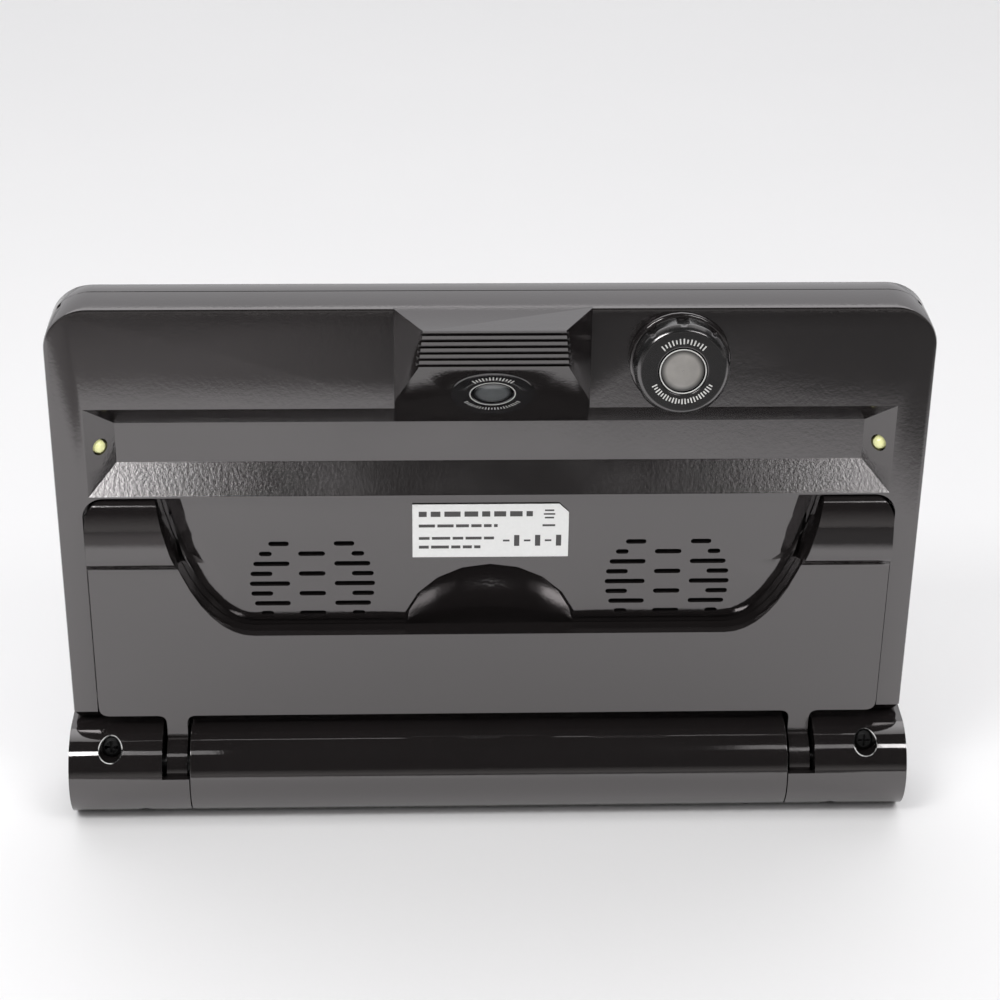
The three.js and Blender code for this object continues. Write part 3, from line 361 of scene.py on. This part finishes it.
def moulded_copy(node, material, radius_mm, steps=3):
    """Copies a node, welds it, merges coplanar faces and rolls each edge sharper than 28 degrees over."""
    source = frame["nodes"][node]
    mesh = source.data.copy()
    mesh.name = node + "_skin"
    work = bmesh.new()
    work.from_mesh(mesh)
    bmesh.ops.remove_doubles(work, verts=work.verts, dist=WELD)
    bmesh.ops.dissolve_limit(work, angle_limit=FLAT_ANGLE, verts=work.verts, edges=work.edges)
    for face in work.faces:
        face.smooth = True
    for edge in work.edges:
        edge.smooth = len(edge.link_faces) == 2 and edge.calc_face_angle(0) < SMOOTH_ANGLE
    work.to_mesh(mesh)
    work.free()
    mesh.materials.clear()
    mesh.materials.append(material)
    for polygon in mesh.polygons:
        polygon.material_index = 0
    piece = bpy.data.objects.new(node + "_skin", mesh)
    bpy.context.scene.collection.objects.link(piece)
    bevel = piece.modifiers.new("rolled_edges", "BEVEL")
    bevel.width = radius_mm * MM
    bevel.segments = steps
    bevel.limit_method = "ANGLE"
    bevel.angle_limit = SMOOTH_ANGLE
    bevel.harden_normals = True
    bevel.use_clamp_overlap = True
    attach(piece, source["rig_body"])
    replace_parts(piece, node)
    return piece


for node, material, radius_mm in (
    ("rear_housing", gloss_black, 0.28),
    ("front_bezel", gloss_black, 0.3),
    ("stand_plate", stand_black, 0.35),
    ("barrel_centre", barrel_black, 0.25),
    ("barrel_end_left", barrel_black, 0.42),
    ("barrel_end_right", barrel_black, 0.42),
    ("far_lens_collar", gloss_black, 0.3),
):
    moulded_copy(node, material, radius_mm)

# %% [markdown]
# The focus ring is gripped with two fingertips, so nine scoops are cut round its skirt, and each scoop runs
# out upwards in a soft end where the cutter leaves the wall. On the lathe-turned profile every corner is
# rolled over. It is made as one surface of revolution whose radius dips at the scoops, because a smooth
# formula gives the soft run-out that joined solids cannot.

# %% Focus ring
FAR_CENTRE = (41.0, -4.3, 117.1)
FAR_TILT = math.radians(6)
FAR_AXIS = Vector((0, -math.cos(FAR_TILT), math.sin(FAR_TILT)))
KNOB_RADIUS, NOTCHES, NOTCH_RADIUS, NOTCH_DEPTH = 10.5, 9, 1.7, 0.85
RUN_OUT_FROM, RUN_OUT_SLOPE, SKIRT_INSIDE = 7.3, 1.6, 8.5


def lens_frame(centre_mm, axis):
    """A matrix with z along the lens axis, x across the unit and y up its face, origin at centre."""
    side = Vector((1, 0, 0))
    up = axis.cross(side)
    turn = Matrix((side, up, axis)).transposed().to_4x4()
    return Matrix.Translation(Vector(centre_mm) * MM) @ turn


def placed(points_mm, matrix):
    """Points in millimetres of a local frame, moved into the shared frame in metres."""
    flat = points_mm.reshape(-1, 3) * MM
    turned = flat @ np.array(matrix.to_3x3()).T + np.array(matrix.translation)
    return turned.reshape(points_mm.shape)


def rolled(corners, radius, steps=5):
    """A closed half section whose corners are rolled: (1-t)^2 before + 2t(1-t) corner + t^2 after."""
    corners = np.array(corners, float)
    before, after = np.roll(corners, 1, 0), np.roll(corners, -1, 0)
    rounded = []
    for corner, last, following in zip(corners, before, after):
        to_last, to_next = last - corner, following - corner
        reach = min(radius, 0.45 * np.linalg.norm(to_last), 0.45 * np.linalg.norm(to_next))
        start = corner + to_last / np.linalg.norm(to_last) * reach
        end = corner + to_next / np.linalg.norm(to_next) * reach
        for t in np.linspace(0, 1, steps):
            rounded.append((1 - t) ** 2 * start + 2 * t * (1 - t) * corner + t * t * end)
    return np.array(rounded)


def finished(piece, material, body, node=None):
    """Gives a new piece its material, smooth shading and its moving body."""
    piece.data.materials.append(material)
    piece.data.polygons.foreach_set("use_smooth", np.ones(len(piece.data.polygons), bool))
    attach(piece, body)
    if node:
        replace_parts(piece, node)
    return piece


def revolved(section, columns=192):
    """Points [step, angle, xyz] of a section of (radius, height) pairs turned about z."""
    angles = np.linspace(0, 2 * np.pi, columns, endpoint=False)
    radius, height = section[:, 0][:, None], section[:, 1][:, None]
    return np.stack([radius * np.cos(angles), radius * np.sin(angles), height + 0 * angles], -1)


def scooped(points, centres, run_out_from):
    """Pulls the radius in to each scoop, a cylinder of NOTCH_RADIUS that slopes out above run_out_from."""
    angle = np.arctan2(points[..., 1], points[..., 0])
    radius = np.hypot(points[..., 0], points[..., 1])
    reach = KNOB_RADIUS + NOTCH_RADIUS - NOTCH_DEPTH
    wanted = radius.copy()
    for centre in centres:
        away = np.angle(np.exp(1j * (angle - centre)))
        inside = NOTCH_RADIUS ** 2 - (reach * np.sin(away)) ** 2
        wall = reach * np.cos(away) - np.sqrt(np.maximum(inside, 0))
        wall = wall + RUN_OUT_SLOPE * np.maximum(points[..., 2] - run_out_from, 0)
        hit = (inside > 0) & (np.cos(away) > 0) & (radius > SKIRT_INSIDE)
        wanted = np.where(hit, np.minimum(wanted, wall), wanted)
    scale = wanted / radius
    return points * np.stack([scale, scale, np.ones_like(scale)], -1)


far_matrix = lens_frame(FAR_CENTRE, FAR_AXIS)
wall_steps = [(KNOB_RADIUS, height) for height in np.linspace(3.6, 7.6, 9)]
knob_corners = [(5.4, 3.2), (10.1, 3.2), (KNOB_RADIUS, 3.5), *wall_steps]
knob_corners += [(9.75, 8.55), (9.2, 9.0), (5.5, 9.0), (5.3, 8.6)]
scoop_angles = np.pi / 2 + np.arange(NOTCHES) * 2 * np.pi / NOTCHES
knob_points = scooped(revolved(rolled(knob_corners, 0.22), 360), scoop_angles, RUN_OUT_FROM)
knob_black = black_plastic("knob_black_abs", 0.12, 0.22, 0.05, (0.012, 0.012, 0.012))
knob = grid_mesh("focus_ring", placed(knob_points, far_matrix), closed_u=True, closed_v=True)
finished(knob, knob_black, KNOB_BODY, "far_lens_knob")
print("focus ring:", len(knob.data.polygons), "faces,", NOTCHES, "scoops")

# %% [markdown]
# Both lenses are glass domes set in black. Behind the glass lies a grey sensor stack, and towards the rim it
# goes black in the shade of the barrel wall. Real layered glass would show the same, so the grey and the
# painted shade at its rim are put straight into the surface, driven by how far each point lies from the axis.

# %% Lens glass
DOME_PIP = 0.02


def lens_glass(name, middle, edge):
    """A glossy dark dome: the attribute `radial` is 0 on the axis and 1 at the rim."""
    material, tree, shader = new_material(name)
    radial = tree.nodes.new("ShaderNodeAttribute")
    radial.attribute_name = "radial"
    cloudy = noise(tree, object_coordinates(tree), 420, 3)
    # Painted shade: near the rim the grey goes to the dark edge colour.
    rim_shade = remap(tree, radial.outputs["Fac"], 0.72, 0.98, 0, 1)
    grey = blend_colours(tree, cloudy, middle, tuple(1.35 * c for c in middle))
    tree.links.new(blend_colours(tree, rim_shade, grey, edge), shader.inputs["Base Color"])
    tree.links.new(remap(tree, cloudy, 0.3, 0.7, 0.05, 0.12), shader.inputs["Roughness"])
    tree.links.new(bump(tree, cloudy, 0.00002, 0.2), shader.inputs["Normal"])
    set_inputs(shader, IOR=1.6, Coat_Weight=0.6, Coat_Roughness=0.03)
    return material


def dome(name, radius, low, high, rise, matrix, material, node):
    """A disc from height low to high with a domed face: z = high + rise (1 - (r / radius)^2)."""
    spread = np.linspace(DOME_PIP, 1, 26)
    face = np.stack([radius * spread, high + rise * (1 - spread ** 2)], -1)
    section = np.vstack([[[DOME_PIP * radius, low]], [[radius, low]], face[::-1]])
    points = revolved(section, 96)
    piece = grid_mesh(name, placed(points, matrix), closed_u=True, closed_v=True)
    share = np.hypot(points[..., 0], points[..., 1]).ravel() / radius
    radial = piece.data.attributes.new("radial", "FLOAT", "POINT")
    radial.data.foreach_set("value", share.astype(np.float32))
    return finished(piece, material, frame["nodes"][node]["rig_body"], node)


NEAR_SLOPE = 0.6985
NEAR_AXIS = Vector((0, -1, -NEAR_SLOPE)).normalized()
NEAR_CENTRE = (0.0, -6.3, 109.6)
near_matrix = lens_frame(NEAR_CENTRE, NEAR_AXIS)
# The second colour of each lens is the painted shade at its rim.
far_glass = lens_glass("far_glass", (0.29, 0.277, 0.262), (0.010, 0.010, 0.010))
near_glass = lens_glass("near_glass", (0.13, 0.138, 0.142), (0.008, 0.009, 0.010))
dome("far_glass_dome", 4.9, 2.0, 8.3, 0.5, far_matrix, far_glass, "far_lens_glass")
dome("near_glass_dome", 4.2, -0.9, -0.1, 0.35, near_matrix, near_glass, "near_lens_glass")
print("lens glass: two domes")

# %% [markdown]
# White print is a film of ink a few hundredths of a millimetre thick. A thin line rings each lens, and short
# strokes stand where the maker's captions would be, like the marks of a scale. The ink is laid as thin
# closed plates just over the face, so that its edge catches the light as real ink does. Its finish, like
# those of all small parts, is two tones mixed by one noise, a roughness that wanders and a fine bump.

# %% White print round the lenses
INK = 0.03


def mottled(name, first, second, smooth, rough, scale, depth, detail=4, fine=0.5, strength=0.4, **settings):
    """Two tones and a roughness range driven by one noise of this scale, with a bump of this depth."""
    material, tree, shader = new_material(name)
    field = noise(tree, object_coordinates(tree), scale, detail, fine)
    tree.links.new(blend_colours(tree, field, first, second), shader.inputs["Base Color"])
    tree.links.new(remap(tree, field, 0.3, 0.7, smooth, rough), shader.inputs["Roughness"])
    tree.links.new(bump(tree, field, depth, strength), shader.inputs["Normal"])
    set_inputs(shader, **settings)
    return material


def printed_ring(name, matrix, radius, width, lift, body):
    """A flat ring of ink: a rectangle `width` wide and INK thick, turned about the lens axis."""
    inner, outer = radius - width / 2, radius + width / 2
    section = np.array([(inner, lift), (outer, lift), (outer, lift + INK), (inner, lift + INK)])
    ring = grid_mesh(name, placed(revolved(section, 128), matrix), closed_u=True, closed_v=True)
    return finished(ring, ink_white, body)


BOX_CORNERS = np.array([(x, y, z) for x in (-0.5, 0.5) for y in (-0.5, 0.5) for z in (0, 1)])
BOX_FACES = np.array([(0, 1, 3, 2), (4, 6, 7, 5), (0, 4, 5, 1), (2, 3, 7, 6), (0, 2, 6, 4), (1, 5, 7, 3)])


def ink_plates(name, rows, matrix, thickness, material, body):
    """One thin plate per row (x, y, lift, width, height, turn): a unit box scaled, turned and moved."""
    vertices, faces = [], []
    for x, y, lift, width, height, turn in rows:
        box = BOX_CORNERS * (width, height, thickness)
        c, s = math.cos(turn), math.sin(turn)
        spun = np.stack([c * box[:, 0] - s * box[:, 1], s * box[:, 0] + c * box[:, 1], box[:, 2]], -1)
        faces.append(BOX_FACES + 8 * len(vertices))
        vertices.append(spun + (x, y, lift))
    mesh = bpy.data.meshes.new(name)
    mesh.from_pydata(placed(np.vstack(vertices), matrix).tolist(), [], np.vstack(faces).tolist())
    face_outwards(mesh)
    piece = bpy.data.objects.new(name, mesh)
    bpy.context.scene.collection.objects.link(piece)
    mesh.materials.append(material)
    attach(piece, body)
    return piece


def scale_strokes(radius, lift, first_degrees, last_degrees, count, height, width):
    """Radial strokes on an arc; every third one is a little shorter, as on a printed scale."""
    rows = []
    for index, degrees in enumerate(np.linspace(first_degrees, last_degrees, count)):
        angle = math.radians(degrees)
        across, up = radius * math.cos(angle), radius * math.sin(angle)
        tall = height * (0.72 if index % 3 == 1 else 1)
        rows.append((across, up, lift, width, tall, angle - math.pi / 2))
    return rows


ink_white = mottled("white_ink", (0.62, 0.61, 0.59), (0.78, 0.78, 0.76), 0.35, 0.6, 2600, 0.00002,
                    detail=3, strength=0.3)
FAR_FACE, NEAR_FACE = 9.0, 0.16
RING_RADIUS, RING_WIDTH = 5.0, 0.26
printed_ring("far_ring", far_matrix, RING_RADIUS, RING_WIDTH, FAR_FACE, KNOB_BODY)
far_marks = scale_strokes(6.9, FAR_FACE, 130, 50, 13, height=1.25, width=0.3)
far_marks += scale_strokes(6.9, FAR_FACE, 208, 332, 23, height=1.25, width=0.3)
ink_plates("far_scale", far_marks, far_matrix, INK, ink_white, KNOB_BODY)
printed_ring("near_ring", near_matrix, RING_RADIUS, RING_WIDTH, NEAR_FACE, CASE_BODY)
near_marks = scale_strokes(6.8, NEAR_FACE, 128, 52, 13, height=1.25, width=0.3)
near_marks += scale_strokes(6.8, NEAR_FACE, 212, 328, 21, height=1.0, width=0.22)
ink_plates("near_scale", near_marks, near_matrix, INK, ink_white, CASE_BODY)
print("print:", len(far_marks) + len(near_marks), "strokes and two rings")

# %% [markdown]
# The near lens looks out through a thin smoked acrylic disc. It is glossier than the case round it, and its
# edge is chamfered, which draws the bright hairline round its top. It is turned from one section.

# %% Near-lens disc
smoked = black_plastic("smoked_acrylic", 0.05, 0.12, 0.02, (0.014, 0.014, 0.015), 0.1)
disc_corners = [(4.6, -0.75), (9.25, -0.75), (9.25, 0.0), (9.1, 0.15), (4.75, 0.15), (4.6, 0.0)]
disc_points = placed(revolved(rolled(disc_corners, 0.06, 3), 160), near_matrix)
disc = grid_mesh("near_disc", disc_points, closed_u=True, closed_v=True)
finished(disc, smoked, CASE_BODY, "near_lens_disc")
print("near disc:", len(disc.data.polygons), "faces")

# %% [markdown]
# The two lighting LEDs are three millimetre bulbs of clear resin over a yellow phosphor cup. Unlit, they look
# pale yellow with a brighter core, and the resin face is a little uneven where it was cast. They are off, yet
# a faint yellow glow is painted into the resin as an emission, which makes them brighter.

# %% LEDs
# Painted glow: the emission makes the unlit bulbs shine a little.
led_resin = mottled("led_resin", (0.62, 0.62, 0.22), (0.97, 0.97, 0.58), 0.05, 0.2, 1900, 0.00008,
                    fine=0.6, strength=0.5, IOR=1.5, Coat_Weight=0.5,
                    Emission_Color=(0.9, 0.9, 0.45, 1), Emission_Strength=0.28)
for node in ("led_left", "led_right"):
    moulded_copy(node, led_resin, 0.08, 2)
print("LEDs: two resin bulbs")

# %% [markdown]
# The rating label is white paper film with grey print. The words, ratings and marks of the real one are left
# out: plain bars stand in the same rows, a thick one for the heading, thin ones for the lines under it, and
# a block of short bars on the right.

# %% Rating label
label_paper = mottled("label_film", (0.90, 0.90, 0.89), (0.97, 0.97, 0.96), 0.4, 0.55, 1200, 0.00004,
                      strength=0.3)
moulded_copy("rating_label", label_paper, 0.04, 2)
ink_grey = mottled("grey_ink", (0.060, 0.058, 0.058), (0.105, 0.10, 0.10), 0.4, 0.6, 3200, 0.00002,
                   detail=3, strength=0.2)

LABEL_LOW, LABEL_HIGH = (np.array(corner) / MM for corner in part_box("rating_label"))
label_matrix = lens_frame((0, LABEL_LOW[1], (LABEL_LOW[2] + LABEL_HIGH[2]) / 2), Vector((0, -1, 0)))
LEFT_MARGIN, THIN_BAR, BAR_LIFT, BAR_INK = -16.4, 0.75, 0.01, 0.02


def word_bars(left, right, y, height, seed, gap=0.55):
    """A row of text as plain bars: word lengths come from a seeded generator."""
    chance = np.random.default_rng(seed)
    rows, x = [], left
    while x < right - 0.6:
        width = min(chance.uniform(1.6, 4.2), right - x)
        rows.append((x + width / 2, y, BAR_LIFT, width, height, 0))
        x += width + gap
    return rows


bars = word_bars(LEFT_MARGIN, 9.6, 4.4, 1.35, seed=3, gap=0.9)
bars += word_bars(LEFT_MARGIN, 1.6, 1.35, THIN_BAR, seed=5)
bars += word_bars(LEFT_MARGIN, 0.8, -1.9, 0.7, seed=8)
bars += word_bars(LEFT_MARGIN, -2.3, -4.2, THIN_BAR, seed=12)
for row in (-1, 0, 1):
    bars.append((13.4, 4.3 + 0.95 * row, BAR_LIFT, 2.6 - 0.5 * abs(row), 0.4, 0))
bars.append((13.3, 1.35, BAR_LIFT, 2.9, 0.5, 0))
for column in range(6):
    tall = column % 2
    bars.append((3.6 + 2.4 * column, -2.6, BAR_LIFT, 1.5 - 0.3 * tall, 0.45 + 2.4 * tall, 0))
ink_plates("label_bars", bars, label_matrix, BAR_INK, ink_grey, CASE_BODY)
print("label:", len(bars), "bars")

# %% [markdown]
# What is left are the small and the hidden parts: black oxide screws down their wells, steel pins, brackets
# and sockets, green boards, wrapped cells, paper speaker cones, the display and the keys. They are seen
# through slots, in the side walls or from the front, so each gets its own finish by the recipe of the ink,
# with the size of its own grain.

# %% Finishes for the other parts
FINISHES = {
    # The screws are darker than real black oxide: painted shade, so that the wells read as black holes.
    "black_screw": mottled("black_oxide_painted_well_shade", (0.002, 0.002, 0.002), (0.006, 0.006, 0.006), 0.5, 0.7,
                           900, 0.00003),
    "steel": mottled("zinc_steel", (0.50, 0.50, 0.51), (0.62, 0.62, 0.62), 0.22, 0.4, 700, 0.00003,
                     Metallic=1.0),
    "circuit_board": mottled("solder_mask", (0.010, 0.085, 0.030), (0.016, 0.12, 0.045), 0.3, 0.45,
                             500, 0.00005),
    "cell_wrap": mottled("cell_sleeve", (0.02, 0.10, 0.22), (0.03, 0.14, 0.28), 0.25, 0.4, 150, 0.00003),
    "speaker": mottled("paper_cone", (0.020, 0.020, 0.021), (0.04, 0.04, 0.04), 0.6, 0.85, 1200, 0.0001),
    "satin_black": mottled("satin_plastic", (0.018, 0.018, 0.018), (0.028, 0.028, 0.028), 0.4, 0.55,
                           800, 0.00005),
    "screen": mottled("display_panel", (0.006, 0.007, 0.009), (0.010, 0.011, 0.013), 0.2, 0.3, 60, 0.00001),
    "cover_glass": mottled("cover_glass", (0.008, 0.009, 0.010), (0.012, 0.013, 0.014), 0.04, 0.09,
                           30, 0.00001, IOR=1.52),
    "key_white": mottled("white_silicone", (0.55, 0.55, 0.54), (0.68, 0.68, 0.67), 0.4, 0.55, 900, 0.00006),
    "key_blue": mottled("blue_silicone", (0.015, 0.09, 0.42), (0.025, 0.13, 0.52), 0.4, 0.55, 900, 0.00006),
    "key_yellow": mottled("yellow_silicone", (0.72, 0.48, 0.01), (0.85, 0.58, 0.02), 0.4, 0.55,
                          900, 0.00006),
    "gloss_black": gloss_black,
}
KEY_EDGE, SMALL_EDGE = 0.35, 0.12
covered = {node for piece in bpy.data.objects for node in piece.get("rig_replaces", [])}
others = [node for node, slot in SLOT_OF.items() if node not in covered and slot in FINISHES]
for node in others:
    slot = SLOT_OF[node]
    moulded_copy(node, FINISHES[slot], KEY_EDGE if slot.startswith("key_") else SMALL_EDGE, 2)
print("other parts:", len(others))

# %% [markdown]
# The screw wells in the barrel ends have a rolled lip, and it shows as a broken bright ring round a black
# hole. That bright ring is a painted highlight: pale patches laid by a noise on the black lip. The lip is a
# thin ring that follows the line where the round well leaves the round barrel.

# %% Lips of the screw wells
WELL_X, WELL_RADIUS, WELL_OFFSET, WELL_ANGLE = 89.0, 2.75, 6.4, math.radians(15)
BARREL_AXIS_Y, BARREL_AXIS_Z, BARREL_RADIUS, LIP_RADIUS = -5.0, 11.05, 11.0, 0.14
LIP_BLACK, PAINTED_HIGHLIGHT = (0.012, 0.012, 0.012), (0.72, 0.72, 0.71)
lip_painted_highlight, tree, shader = new_material("lip_painted_highlight")
# Painted highlight: where the noise is high the lip turns pale and rougher.
highlight_patches = remap(tree, noise(tree, object_coordinates(tree), 300, 2), 0.46, 0.60, 0, 1)
tree.links.new(blend_colours(tree, highlight_patches, LIP_BLACK, PAINTED_HIGHLIGHT), shader.inputs["Base Color"])
tree.links.new(remap(tree, highlight_patches, 0, 1, 0.08, 0.3), shader.inputs["Roughness"])
tree.links.new(bump(tree, highlight_patches, 0.00002, 0.4), shader.inputs["Normal"])


def well_lip(name, centre_x):
    """A thin ring on the curve where the well's cylinder meets the barrel's cylinder."""
    along = np.array((1.0, 0, 0))
    outward = np.array((0, -math.cos(WELL_ANGLE), math.sin(WELL_ANGLE)))
    above = np.array((0, math.sin(WELL_ANGLE), math.cos(WELL_ANGLE)))
    round_well = np.linspace(0, 2 * np.pi, 96, endpoint=False)[:, None]
    round_lip = np.linspace(0, 2 * np.pi, 12, endpoint=False)[None, :, None]
    away = np.cos(round_well) * along + np.sin(round_well) * above
    height = WELL_OFFSET + WELL_RADIUS * np.sin(round_well)
    reach = np.sqrt(BARREL_RADIUS ** 2 - height ** 2)
    from_axis = height * above + reach * outward
    centre = (centre_x, BARREL_AXIS_Y, BARREL_AXIS_Z) + WELL_RADIUS * np.cos(round_well) * along + from_axis
    normal = from_axis / BARREL_RADIUS
    ring = np.cos(round_lip) * away[:, None] + np.sin(round_lip) * normal[:, None]
    return grid_mesh(name, (centre[:, None] + LIP_RADIUS * ring) * MM, closed_u=True, closed_v=True)


for name, side in (("well_lip_left", -1), ("well_lip_right", 1)):
    finished(well_lip(name, side * WELL_X), lip_painted_highlight, CASE_BODY)
print("screw well lips: 2")
